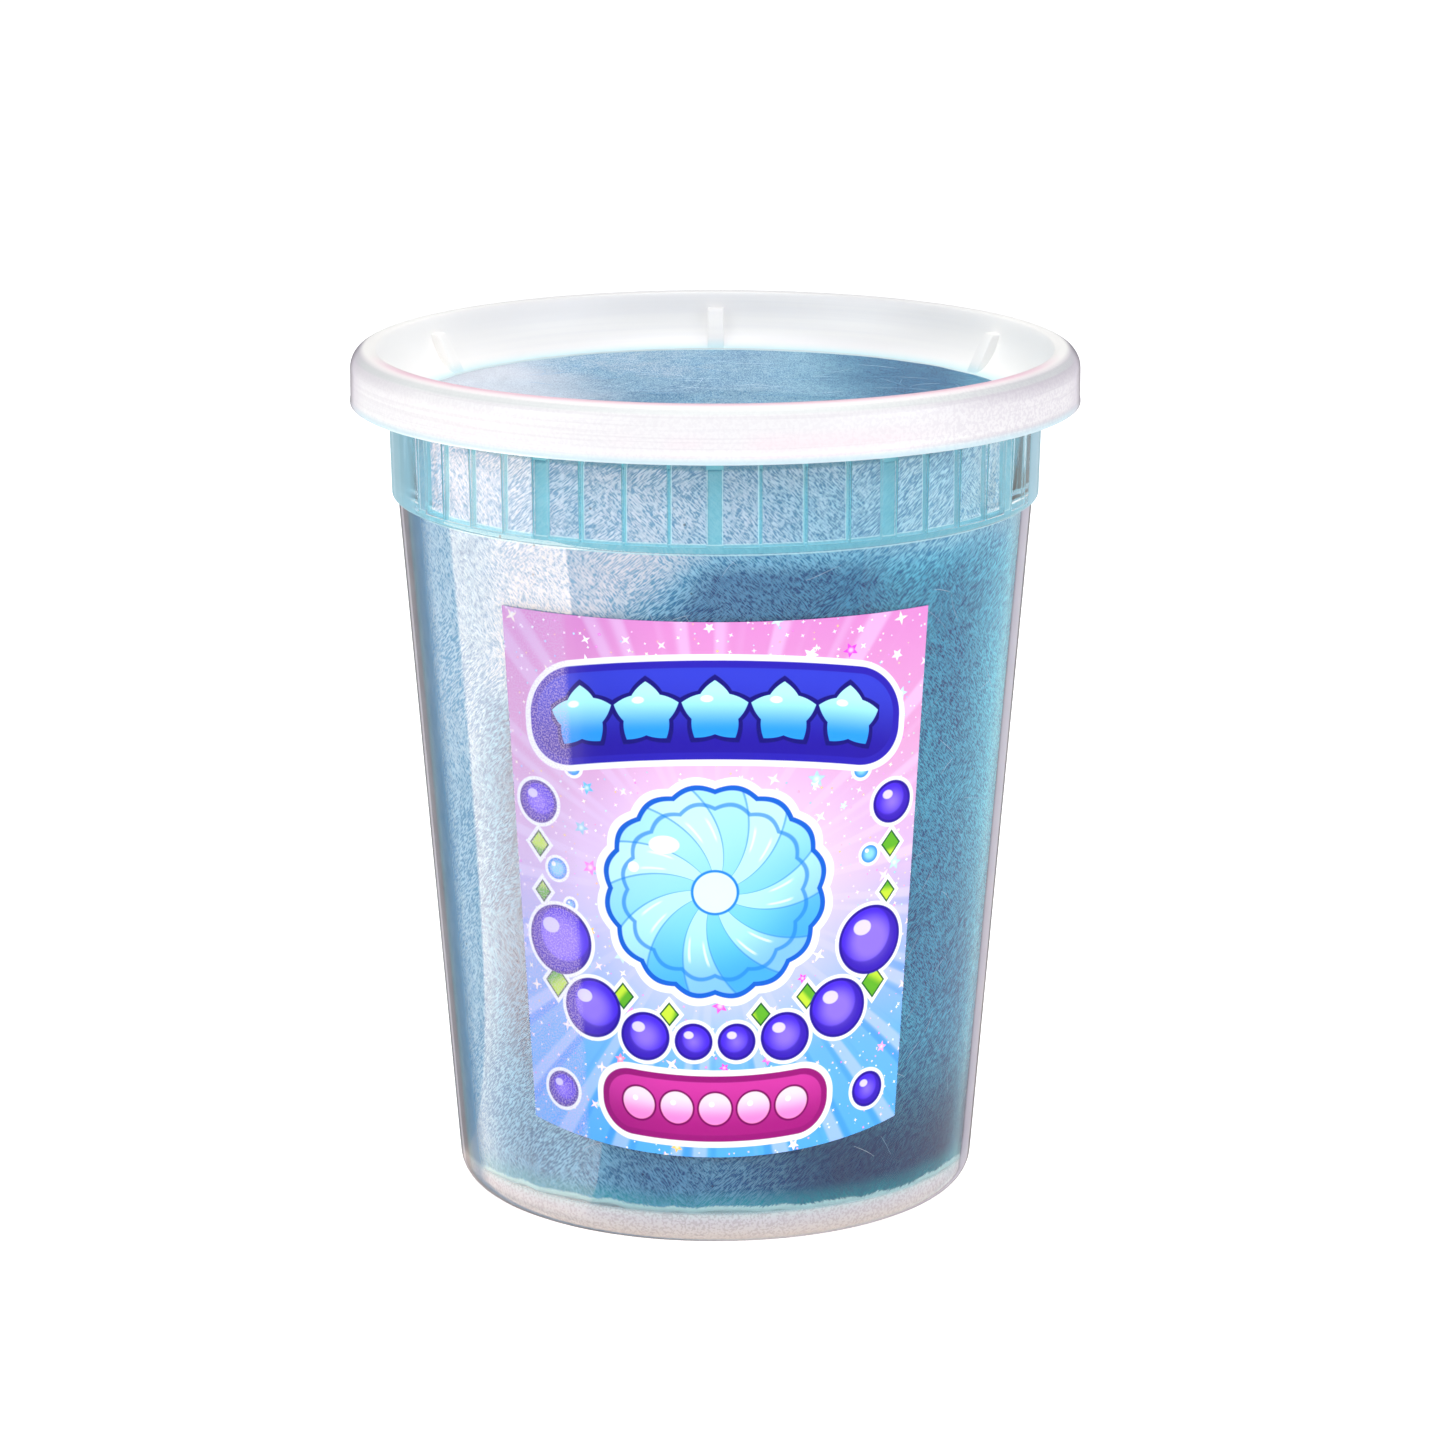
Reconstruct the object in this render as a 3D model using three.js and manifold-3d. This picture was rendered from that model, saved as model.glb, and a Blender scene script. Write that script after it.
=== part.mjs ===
// A round clear tub packed with cotton candy, shut by a snap lid, with a label on its wall.
// Millimetres, +Z up, the front at -Y, and the origin in the middle of the foot.

import * as THREE from "three";
import { mergeVertices } from "three/addons/utils/BufferGeometryUtils.js";
import Module from "manifold-3d";

const wasm = await Module();
wasm.setup();

// Driving dimensions

const pitchCount = 46;            // stacking ribs round the collar
const facets = 2 * pitchCount;    // sides of the turned plastic pieces, two to a rib pitch

const tub = {
  wall: 0.9,                      // plastic thickness, measured across the wall
  radiusAtFoot: 43.09,            // outer wall carried on down to the floor level
  taper: 0.0802,                  // growth of the radius for each millimetre of height
  cornerRadius: 4.2,
  footInside: 36.2,
  underside: 2.3,                 // height of the raised floor's underside
  floor: 1.0,
  collarBottom: 117.5,
  collarRadius: 53.5,
  collarTopRadius: 53.9,
  rimStart: 133.1,
  flange: 138.9,                  // underside of the rim's flange
  lipRadius: 58.6,
  lipBevel: 0.9,
  top: 140.8,
};

const rib = { thin: 0.5, wide: 2.7, wideEvery: 4, innerRadius: 51.75, top: 132.2 };

const lid = {
  wall: 0.8,
  beadWall: 0.7,
  channelBevel: 1.7,              // inside the bead, clear of the tub's lip
  skirtBottom: 132.9,
  skirtRadius: 60.1,
  lipRadius: 60.2,                // the skirt's lower edge stands out a little
  top: 142.0,
  beadRadius: 3.4,
  innerRadius: 55.5,              // inner edge of the bead, at the mouth of the recess
  panelRadius: 49.4,
  panelTop: 132.8,
};

const lug = { count: 6, width: 2.8, height: 6.4, proud: 1.9 };

const candy = {
  sides: 64,
  clearance: 0.35,
  relief: 0.5,
  bottom: 3.75,
  edge: 6.3,                      // where the candy's lower edge meets the wall, on average
  edgeWave: 0.7,
  top: 131.4,
};

const label = {
  halfAngle: THREE.MathUtils.degToRad(40.8),
  bottom: 16,
  cornerRise: 3.7,                // the lower edge is cut as a bow, higher at its corners
  top: 106.4,
  thickness: 0.2,
  gap: 0.12,
};

const materials = {
  tub: new THREE.MeshStandardMaterial({ color: 0xdfeaf0, roughness: 0.08, metalness: 0 }),
  lid: new THREE.MeshStandardMaterial({ color: 0xf5f4f6, roughness: 0.3, metalness: 0 }),
  cotton_candy: new THREE.MeshStandardMaterial({ color: 0x5b97c4, roughness: 0.9, metalness: 0 }),
  label: new THREE.MeshStandardMaterial({ color: 0xd98fe0, roughness: 0.35, metalness: 0 }),
};

// Shared helpers

// Keeps positions only, joins equal points and drops triangles that have lost their area.
function closedSurface(geometry) {
  const bare = geometry.clone();
  bare.deleteAttribute("normal");
  bare.deleteAttribute("uv");
  const merged = mergeVertices(bare, 1e-4);
  const kept = [];
  for (let i = 0; i < merged.index.count; i += 3) {
    const [a, b, c] = [0, 1, 2].map((corner) => merged.index.getX(i + corner));
    if (a !== b && b !== c && c !== a) kept.push(a, b, c);
  }
  merged.setIndex(kept);
  return merged;
}

function toSolid(geometry) {
  const surface = closedSurface(geometry);
  return new wasm.Manifold(new wasm.Mesh({
    numProp: 3,
    vertProperties: new Float32Array(surface.attributes.position.array),
    triVerts: new Uint32Array(surface.index.array),
  }));
}

function toGeometry(solid) {
  const mesh = solid.getMesh();
  const geometry = new THREE.BufferGeometry();
  geometry.setAttribute("position", new THREE.BufferAttribute(mesh.vertProperties, 3));
  geometry.setIndex(new THREE.BufferAttribute(mesh.triVerts, 1));
  geometry.computeVertexNormals();
  return geometry;
}

// Profiles are lists of points: radius from the axis, then height.
const point = (radius, z) => new THREE.Vector2(radius, z);

function arc(centreRadius, centreZ, radius, from, to, steps) {
  const clockwise = to < from;
  return new THREE.EllipseCurve(centreRadius, centreZ, radius, radius, from, to, clockwise)
    .getPoints(steps);
}

function bend(from, over, to, steps) {
  return new THREE.QuadraticBezierCurve(point(...from), point(...over), point(...to))
    .getPoints(steps);
}

// Turns a profile about the Z axis, starting at the front.
function turned(profile, sides = facets) {
  return new THREE.LatheGeometry(profile, sides).rotateX(Math.PI / 2);
}

// A bar of the given width whose side view is an outline of (radius, height), facing `angle`
// as seen from above, counted from the front towards +X.
function radialBar(outline, width, angle) {
  return new THREE.ExtrudeGeometry(outline, { depth: width, bevelEnabled: false })
    .translate(0, 0, -width / 2)
    .rotateX(Math.PI / 2)
    .rotateZ(angle - Math.PI / 2);
}

const outerWall = (z) => tub.radiusAtFoot + tub.taper * z;
const innerWall = (z) => outerWall(z) - tub.wall;

// Tub

function tubProfile() {
  const slope = Math.atan(tub.taper);
  const tangentZ = tub.cornerRadius * (1 - Math.sin(slope));
  const cornerCentre = outerWall(tangentZ) - tub.cornerRadius * Math.cos(slope);
  const innerCorner = tub.cornerRadius - tub.wall;
  const floorTop = tub.underside + tub.floor;
  const shoulder = tub.collarBottom + tub.wall;
  const mouth = tub.collarTopRadius - tub.wall;
  const rimInside = tub.lipRadius - 2;
  const rimOutside = rimInside + tub.wall;
  const flareIn = [rimInside - 1.4, tub.rimStart + 1.5];
  const flareOut = [rimInside - 0.4, tub.rimStart + 0.8];
  return [
    point(0, tub.underside),
    point(tub.footInside - 1.4, tub.underside),
    point(tub.footInside, 0),
    ...arc(cornerCentre, tub.cornerRadius, tub.cornerRadius, -Math.PI / 2, -slope, 4),
    point(outerWall(tub.collarBottom), tub.collarBottom),
    point(tub.collarRadius, tub.collarBottom),
    ...bend([tub.collarTopRadius, tub.rimStart], flareOut, [rimOutside, tub.flange], 3),
    point(tub.lipRadius, tub.flange),
    point(tub.lipRadius, tub.top - tub.lipBevel),
    point(tub.lipRadius - tub.lipBevel, tub.top),
    point(rimInside + 0.4, tub.top),
    ...bend([rimInside, tub.top - 0.7], flareIn, [mouth, tub.rimStart - 0.2], 3),
    point(tub.collarRadius - tub.wall, shoulder),
    point(innerWall(shoulder), shoulder),
    ...arc(cornerCentre, tub.cornerRadius, innerCorner, -slope, -Math.PI / 2, 3),
    point(tub.footInside + 0.7, tub.wall),
    point(tub.footInside - 0.8, floorTop),
    point(0, floorTop),
  ];
}

// One stacking rib on the collar's inside, from the shoulder up to just below the rim.
function stackingRib(index) {
  const reach = tub.collarRadius - tub.wall / 2;
  const foot = tub.collarBottom + tub.wall / 2;
  const outline = new THREE.Shape()
    .moveTo(rib.innerRadius, foot)
    .lineTo(reach, foot)
    .lineTo(reach, rib.top)
    .lineTo(rib.innerRadius, rib.top);
  const fromFront = Math.min(index, pitchCount - index);
  const width = fromFront % rib.wideEvery === 0 ? rib.wide : rib.thin;
  return toSolid(radialBar(outline, width, (2 * Math.PI * index) / pitchCount));
}

function tubGeometry() {
  let body = toSolid(turned(tubProfile()));
  for (let index = 0; index < pitchCount; index += 1) {
    body = body.add(stackingRib(index));
  }
  return toGeometry(body);
}

// Lid

function lidProfile() {
  const panelBottom = lid.panelTop - lid.wall;
  const skirtInside = lid.skirtRadius - lid.wall;
  const ceiling = lid.top - lid.beadWall;
  const recessTop = [lid.innerRadius + lid.beadWall, ceiling - 0.5];
  const beadCentre = lid.skirtRadius - lid.beadRadius;
  const catchZ = tub.flange - 1.2;
  const recessUnder = [lid.panelRadius + 4.8, panelBottom];
  const recessOver = [lid.panelRadius + 4.2, lid.panelTop];
  return [
    point(0, panelBottom),
    ...bend([lid.panelRadius - 0.2, panelBottom], recessUnder, recessTop, 3),
    point(lid.innerRadius + 1.2, ceiling),
    point(skirtInside - lid.channelBevel, ceiling),
    point(skirtInside, ceiling - lid.channelBevel),
    point(skirtInside, catchZ + 0.6),
    point(skirtInside - 0.6, catchZ),
    point(skirtInside, catchZ - 0.8),
    point(skirtInside, lid.skirtBottom),
    point(lid.lipRadius, lid.skirtBottom),
    point(lid.skirtRadius, lid.skirtBottom + 0.9),
    ...arc(beadCentre, lid.top - lid.beadRadius, lid.beadRadius, 0, Math.PI / 2, 5),
    point(lid.innerRadius + 0.35, lid.top - 0.25),
    ...bend([lid.innerRadius, lid.top - 1], recessOver, [lid.panelRadius, lid.panelTop], 5),
    point(0, lid.panelTop),
  ];
}

// One upright stacking lug on the wall of the lid's recess, rooted half way into that wall.
function stackingLug(index) {
  const low = lid.panelTop - lid.wall / 2;
  const high = lid.panelTop + lug.height;
  const rootLow = [lid.panelRadius + 0.4, low];
  const rootHigh = [lid.innerRadius - 0.15, high];
  const root = bend(rootLow, [lid.panelRadius + 3.9, low], rootHigh, 4);
  const face = lid.innerRadius - lug.proud;
  const outline = new THREE.Shape([...root, point(face, high), point(face - 0.5, high - 0.6)]);
  const angle = Math.PI + (2 * Math.PI * index) / lug.count;
  return toSolid(radialBar(outline, lug.width, angle));
}

function lidGeometry() {
  let body = toSolid(turned(lidProfile()));
  for (let index = 0; index < lug.count; index += 1) {
    body = body.add(stackingLug(index));
  }
  return toGeometry(body);
}

// Cotton candy

// Soft swells of the packed candy, from 0 to 1, the same after a full turn.
function swell(angle, z) {
  const broad = Math.sin(3 * angle + 0.055 * z) + Math.sin(5 * angle - 0.09 * z + 1.3);
  const fine = Math.sin(11 * angle + 0.21 * z + 0.7) + Math.sin(8 * angle - 0.17 * z + 2.1);
  return 0.5 + 0.15 * broad + 0.1 * fine;
}

// Rise and fall of the candy's lower edge round the tub, from -1 to 1.
function edgeWave(angle) {
  return 0.5 * Math.sin(3 * angle + 2.4) + 0.3 * Math.sin(7 * angle) + 0.2 * Math.sin(13 * angle + 1);
}

function cottonCandyGeometry() {
  const rings = 7;
  const lowest = candy.edge + 2;
  const collarSide = rib.innerRadius - candy.clearance;
  const side = (z) => Math.min(innerWall(z) - candy.clearance, collarSide);
  const ringHeights = Array.from({ length: rings + 1 }, (_, ring) =>
    THREE.MathUtils.lerp(lowest, tub.collarBottom + 4, ring / rings));
  const profile = [
    point(0, candy.bottom),
    point(tub.footInside - 3.2, candy.bottom),
    point(side(candy.edge) - 2.2, candy.edge - 1),
    point(side(candy.edge) - 0.4, candy.edge),
    ...ringHeights.map((z) => point(side(z), z)),
    point(collarSide, candy.top - 2.6),
    point(collarSide - 0.8, candy.top - 0.8),
    point(collarSide - 2.8, candy.top),
    point(0, candy.top),
  ];
  const geometry = turned(profile, candy.sides);
  const position = geometry.attributes.position;
  for (let i = 0; i < position.count; i += 1) {
    const [x, y, z] = [position.getX(i), position.getY(i), position.getZ(i)];
    const radius = Math.hypot(x, y);
    const angle = Math.atan2(x, -y);
    const onSide = THREE.MathUtils.smoothstep(radius, tub.footInside, side(candy.edge));
    const nearEdge = 1 - THREE.MathUtils.smoothstep(z, candy.edge + 1, candy.edge + 9);
    const pulledIn = 1 - (onSide * candy.relief * swell(angle, z)) / Math.max(radius, 1);
    position.setXYZ(
      i,
      x * pulledIn,
      y * pulledIn,
      z + onSide * nearEdge * candy.edgeWave * edgeWave(angle),
    );
  }
  return closedSurface(geometry);
}

// Label

// A thin flat strip bent onto the tapering wall.
function labelGeometry() {
  const across = 22;
  const up = 4;
  const geometry = new THREE.BoxGeometry(2, 1, 1, across, up, 1);
  const position = geometry.attributes.position;
  for (let i = 0; i < position.count; i += 1) {
    const sideways = position.getX(i);
    const height = position.getY(i) + 0.5;
    const depth = position.getZ(i) + 0.5;
    const angle = sideways * label.halfAngle;
    const lowEdge = label.bottom + label.cornerRise * sideways ** 2;
    const z = THREE.MathUtils.lerp(lowEdge, label.top, height);
    const radius = outerWall(z) + label.gap + depth * label.thickness;
    position.setXYZ(i, radius * Math.sin(angle), -radius * Math.cos(angle), z);
  }
  return closedSurface(geometry);
}

// Assembly

const geometries = {
  tub: tubGeometry(),
  lid: lidGeometry(),
  cotton_candy: cottonCandyGeometry(),
  label: labelGeometry(),
};

const pack = new THREE.Group();
for (const [name, geometry] of Object.entries(geometries)) {
  const mesh = new THREE.Mesh(geometry, materials[name]);
  mesh.name = name;
  pack.add(mesh);
}

export default pack;
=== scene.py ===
import math
import random

import bpy
from mathutils import Matrix, Vector


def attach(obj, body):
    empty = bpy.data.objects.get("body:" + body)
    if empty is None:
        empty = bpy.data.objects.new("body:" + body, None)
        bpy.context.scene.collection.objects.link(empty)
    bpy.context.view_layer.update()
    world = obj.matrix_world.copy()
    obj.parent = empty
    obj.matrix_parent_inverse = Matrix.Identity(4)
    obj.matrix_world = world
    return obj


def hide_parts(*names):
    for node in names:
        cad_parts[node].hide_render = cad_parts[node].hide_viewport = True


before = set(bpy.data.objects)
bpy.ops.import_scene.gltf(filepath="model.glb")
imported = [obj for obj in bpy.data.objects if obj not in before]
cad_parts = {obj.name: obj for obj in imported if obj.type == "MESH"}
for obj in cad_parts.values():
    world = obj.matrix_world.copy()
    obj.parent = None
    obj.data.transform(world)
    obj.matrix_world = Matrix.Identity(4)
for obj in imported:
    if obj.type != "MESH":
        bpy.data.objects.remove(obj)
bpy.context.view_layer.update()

mm = 0.001          # the dictionaries below are in millimetres
perMetre = 1000
fullTurn = 2 * math.pi

scene = bpy.context.scene
scene.view_settings.view_transform = "Standard"


def arc(radius, height, size, start, end, steps):
    # points on a round stretch of a profile, angles in degrees from straight outwards
    turns = [math.radians(start + (end - start) * i / steps) for i in range(steps + 1)]
    return [(radius + size * math.cos(t), height + size * math.sin(t)) for t in turns]


def bend(start, over, end, steps):
    # a quadratic curve from start to end, pulled towards the point between them
    points = []
    for i in range(steps + 1):
        t = i / steps
        weights = ((1 - t) ** 2, 2 * t * (1 - t), t ** 2)
        points.append(tuple(sum(w * p[k] for w, p in zip(weights, (start, over, end))) for k in (0, 1)))
    return points


def selectOnly(piece):
    bpy.ops.object.select_all(action="DESELECT")
    piece.select_set(True)
    bpy.context.view_layer.objects.active = piece


def editAll(piece):
    selectOnly(piece)
    bpy.ops.object.mode_set(mode="EDIT")
    bpy.ops.mesh.select_mode(type="VERT")
    bpy.ops.mesh.select_all(action="SELECT")


def leaveEdit():
    bpy.ops.object.mode_set(mode="OBJECT")


def pullProfile(name, points):
    # a plane merged to one point, which is then extruded along the profile
    bpy.ops.object.select_all(action="DESELECT")
    bpy.ops.mesh.primitive_plane_add(size=mm)
    piece = bpy.context.object
    piece.name = piece.data.name = name
    editAll(piece)
    bpy.ops.mesh.merge(type="CENTER")
    place = [Vector((0, -radius * mm, height * mm)) for radius, height in points]
    bpy.ops.transform.translate(value=place[0])
    for here, there in zip(place, place[1:]):
        bpy.ops.mesh.extrude_vertices_move(TRANSFORM_OT_translate={"value": there - here})
    leaveEdit()
    return piece


def turnProfile(name, points, steps):
    piece = pullProfile(name, points)
    editAll(piece)
    bpy.ops.mesh.spin(steps=steps, angle=fullTurn, center=(0, 0, 0), axis=(0, 0, 1))
    bpy.ops.mesh.select_all(action="SELECT")
    bpy.ops.mesh.remove_doubles(threshold=0.01 * mm)
    bpy.ops.mesh.normals_make_consistent(inside=False)
    leaveEdit()
    return piece


def applyModifier(piece, kind, **settings):
    selectOnly(piece)
    modifier = piece.modifiers.new(kind.lower(), kind)
    for key, value in settings.items():
        setattr(modifier, key, value)
    bpy.ops.object.modifier_apply(modifier=modifier.name)


def roundEdges(piece, width, angle=35, segments=2):
    applyModifier(piece, "BEVEL", width=width * mm, segments=segments, limit_method="ANGLE",
                  angle_limit=math.radians(angle), use_clamp_overlap=True, miter_outer="MITER_ARC")


def smooth(piece, angle=32):
    selectOnly(piece)
    bpy.ops.object.shade_smooth_by_angle(angle=math.radians(angle))


def turnedCopy(piece, angle):
    # angle is counted from the front towards +X
    copy = piece.copy()
    copy.data = piece.data.copy()
    scene.collection.objects.link(copy)
    copy.data.transform(Matrix.Rotation(angle, 4, "Z"))
    return copy


def joinAll(pieces, name):
    bpy.ops.object.select_all(action="DESELECT")
    for piece in pieces:
        piece.select_set(True)
    bpy.context.view_layer.objects.active = pieces[0]
    bpy.ops.object.join()
    pieces[0].name = pieces[0].data.name = name
    return pieces[0]


def fuse(piece, extras):
    joined = joinAll(extras, "fusedParts")
    applyModifier(piece, "BOOLEAN", operation="UNION", solver="MANIFOLD", object=joined)
    bpy.data.objects.remove(joined)


def setMaterials(piece, *materials):
    piece.data.materials.clear()
    for material in materials:
        piece.data.materials.append(material)


def tone(red, green, blue):
    # a screen colour of 0 to 255 as the linear values that a socket takes
    def linear(value):
        value = value / 255
        return value / 12.92 if value <= 0.04045 else ((value + 0.055) / 1.055) ** 2.4
    return (linear(red), linear(green), linear(blue), 1)


class Wire:
    # one socket that sums can be written with: each sum adds its Math node
    def __init__(self, paint, socket):
        self.paint = paint
        self.socket = socket

    def maths(self, operation, *others):
        sockets = {i: value for i, value in enumerate((self, *others))}
        return self.paint.node("ShaderNodeMath", {"operation": operation}, sockets)

    def out(self, name):
        return Wire(self.paint, self.socket.node.outputs[name])

    def __add__(self, other):
        return self.maths("ADD", other)

    def __radd__(self, other):
        return self.maths("ADD", other)

    def __sub__(self, other):
        return self.maths("SUBTRACT", other)

    def __rsub__(self, other):
        return (-self).maths("ADD", other)

    def __mul__(self, other):
        return self.maths("MULTIPLY", other)

    def __rmul__(self, other):
        return self.maths("MULTIPLY", other)

    def __truediv__(self, other):
        return self.maths("DIVIDE", other)

    def __neg__(self):
        return self.maths("MULTIPLY", -1.0)

    def __pow__(self, other):
        return self.maths("POWER", other)

    def __abs__(self):
        return self.maths("ABSOLUTE")


class Paint:
    # a new material or world, and the few ways in which its nodes are made
    def __init__(self, name, kind="materials"):
        self.owner = getattr(bpy.data, kind).new(name)
        self.owner.use_nodes = True
        self.tree = self.owner.node_tree
        self.tree.nodes.clear()

    def node(self, kind, settings=None, sockets=None, out=0):
        made = self.tree.nodes.new(kind)
        for key, value in (settings or {}).items():
            if key == "stops":
                self.setStops(made.color_ramp, value)
            else:
                setattr(made, key, value)
        for key, value in (sockets or {}).items():
            if isinstance(value, Wire):
                self.tree.links.new(value.socket, made.inputs[key])
            else:
                made.inputs[key].default_value = value
        return Wire(self, made.outputs[out]) if made.outputs else None

    def setStops(self, ramp, stops):
        while len(ramp.elements) < len(stops):
            ramp.elements.new(1)
        for element, (position, colour) in zip(ramp.elements, stops):
            element.position = position
            element.color = colour

    def objectPlace(self):
        return self.node("ShaderNodeTexCoord", out="Object")

    def split(self, vector):
        return self.node("ShaderNodeSeparateXYZ", sockets={0: vector})

    def vector(self, operation, first, second):
        return self.node("ShaderNodeVectorMath", {"operation": operation}, {0: first, 1: second})

    def noise(self, place, scale, detail=2.0, roughness=0.5, warp=0.0):
        return self.node("ShaderNodeTexNoise", None, {
            "Vector": place, "Scale": scale, "Detail": detail, "Roughness": roughness,
            "Distortion": warp})

    def fade(self, value, start, end, smoothly=True):
        # 0 at start and 1 at end
        kind = "SMOOTHSTEP" if smoothly else "LINEAR"
        return self.node("ShaderNodeMapRange", {"interpolation_type": kind},
                         {"Value": value, "From Min": start, "From Max": end})

    def mix(self, factor, first, second, how="MIX"):
        return self.node("ShaderNodeMix", {"data_type": "RGBA", "blend_type": how},
                         {0: factor, 6: first, 7: second}, out=2)

    def layered(self, colour, layers):
        # each layer is its mask, its colour and, where it isn't plainly laid over, how it mixes
        for mask, over, *how in layers:
            colour = self.mix(mask, colour, over, *how)
        return colour

    def ramp(self, factor, stops):
        return self.node("ShaderNodeValToRGB", {"stops": stops}, {"Fac": factor})

    def bump(self, height, strength, distance):
        return self.node("ShaderNodeBump", None,
                         {"Height": height, "Strength": strength, "Distance": distance})

    def axisDistance(self, place):
        # millimetres from the tub's axis
        level = self.vector("MULTIPLY", place, (1, 1, 0))
        return self.vector("LENGTH", level, (0, 0, 0)).out("Value") * perMetre

    def surface(self, settings):
        return self.node("ShaderNodeBsdfPrincipled", None, settings)

    def blend(self, share, first, second):
        return self.node("ShaderNodeMixShader", None, {0: share, 1: first, 2: second})

    def finish(self, shader, kind="ShaderNodeOutputMaterial"):
        self.node(kind, None, {"Surface": shader})
        return self.owner


def letLightThrough(paint, shader, share=0.95):
    # lamps reach what stands behind the plastic
    shadowRay = paint.node("ShaderNodeLightPath", out="Is Shadow Ray")
    clear = paint.node("ShaderNodeBsdfTransparent", None, {"Color": (share, share, share, 1)})
    return paint.blend(shadowRay, shader, clear)


camera = {
    "place": (0.00119, -0.85150, 0.28340),
    "tilt": 76.42,        # degrees up from straight down
    "lens": 130.2,
    "sensor": 36.0,
}


def makeCamera():
    data = bpy.data.cameras.new("camera")
    data.lens = camera["lens"]
    data.sensor_width = camera["sensor"]
    viewer = bpy.data.objects.new("camera", data)
    viewer.location = camera["place"]
    viewer.rotation_euler = (math.radians(camera["tilt"]), 0, 0)
    scene.collection.objects.link(viewer)
    scene.camera = viewer


makeCamera()
print("camera ready")


ribCount = 46
turnSteps = 4 * ribCount     # sides of the turned plastic pieces

tub = {
    "wall": 0.9,
    "radiusAtFoot": 43.09,   # outer wall carried on down to the floor level
    "taper": 0.0802,         # growth of the radius for each millimetre of height
    "cornerRadius": 4.2,
    "footInside": 36.2,
    "underside": 2.3,
    "floor": 1.0,
    "collarBottom": 117.5,
    "collarRadius": 53.5,
    "collarTopRadius": 53.9,
    "rimStart": 133.1,
    "flange": 138.9,
    "lipRadius": 58.6,
    "lipBevel": 0.9,
    "top": 140.8,
    "shelfRounding": 0.5,
    "besideCorner": 0.4,
    "edgeRounding": 0.16,
    "ribThin": 0.5,
    "ribWide": 2.7,
    "ribWideEvery": 4,
    "ribInner": 51.75,
    "ribTop": 132.2,
    "fillLine": 6.3,         # where the candy's lower edge meets the wall, on average
    "tint": (0.955, 0.985, 0.99, 1),
    "ior": 1.49,
}


def outerWall(height):
    return tub["radiusAtFoot"] + tub["taper"] * height


def innerWall(height):
    return outerWall(height) - tub["wall"]


def tubProfile():
    slope = math.degrees(math.atan(tub["taper"]))
    tangent = tub["cornerRadius"] * (1 - math.sin(math.radians(slope)))
    corner = outerWall(tangent) - tub["cornerRadius"] * math.cos(math.radians(slope))
    floorTop = tub["underside"] + tub["floor"]
    shoulder = tub["collarBottom"] + tub["wall"]
    mouth = tub["collarTopRadius"] - tub["wall"]
    rimInside = tub["lipRadius"] - 2
    shelfRound = tub["shelfRounding"]
    flareIn = (rimInside - 1.4, tub["rimStart"] + 1.5)
    flareOut = (rimInside - 0.4, tub["rimStart"] + 0.8)
    wallHeights = [tub["collarBottom"] * i / 12 for i in range(1, 13)]
    # rings close beside the shelf's corners keep the smooth shading of the tall walls true
    beside = tub["besideCorner"]
    outside = [(outerWall(height), height)
               for height in (*wallHeights[:-1], tub["collarBottom"] - beside, tub["collarBottom"])]
    inside = [(innerWall(height), height) for height in reversed(wallHeights[:-1])]
    return [
        (0, tub["underside"]),
        (tub["footInside"] - 1.4, tub["underside"]),
        (tub["footInside"], 0),
        *arc(corner, tub["cornerRadius"], tub["cornerRadius"], -90, -slope, 8),
        *outside,
        *arc(tub["collarRadius"] - shelfRound, tub["collarBottom"] + shelfRound, shelfRound, -90, 0, 4),
        (tub["collarRadius"] + 0.01, tub["collarBottom"] + shelfRound + beside),
        (tub["collarTopRadius"] - 0.01, tub["rimStart"] - beside),
        *bend((tub["collarTopRadius"], tub["rimStart"]), flareOut,
              (rimInside + tub["wall"], tub["flange"]), 7),
        (tub["lipRadius"], tub["flange"]),
        (tub["lipRadius"], tub["top"] - tub["lipBevel"]),
        (tub["lipRadius"] - tub["lipBevel"], tub["top"]),
        (rimInside + 0.4, tub["top"]),
        *bend((rimInside, tub["top"] - 0.7), flareIn, (mouth, tub["rimStart"] - 0.2), 7),
        (tub["collarRadius"] - tub["wall"], shoulder),
        (innerWall(shoulder), shoulder),
        *inside,
        *arc(corner, tub["cornerRadius"], tub["cornerRadius"] - tub["wall"], -slope, -90, 7),
        (tub["footInside"] + 0.7, tub["wall"]),
        (tub["footInside"] - 0.8, floorTop),
        (0, floorTop),
    ]


def makeRib(width):
    # a bar at the front, from the shoulder up, with its inner upright edges rounded off
    reach = tub["collarRadius"] - tub["wall"] / 2
    low = tub["collarBottom"] + tub["wall"] / 2
    depth = reach - tub["ribInner"]
    height = tub["ribTop"] - low
    middle = Vector((0, -(tub["ribInner"] + depth / 2), low + height / 2)) * mm
    bpy.ops.object.select_all(action="DESELECT")
    bpy.ops.mesh.primitive_cube_add(size=1, location=middle, scale=(width * mm, depth * mm, height * mm))
    rib = bpy.context.object
    bpy.ops.object.transform_apply(location=True, rotation=True, scale=True)
    innerEdge = -(tub["ribInner"] + 0.01) * mm
    for vertex in rib.data.vertices:
        vertex.select = vertex.co.y > innerEdge
    bpy.ops.object.mode_set(mode="EDIT")
    bpy.ops.mesh.select_mode(type="VERT")
    bpy.ops.mesh.bevel(offset=0.12 * mm, segments=2, affect="EDGES")
    leaveEdit()
    return rib


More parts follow.
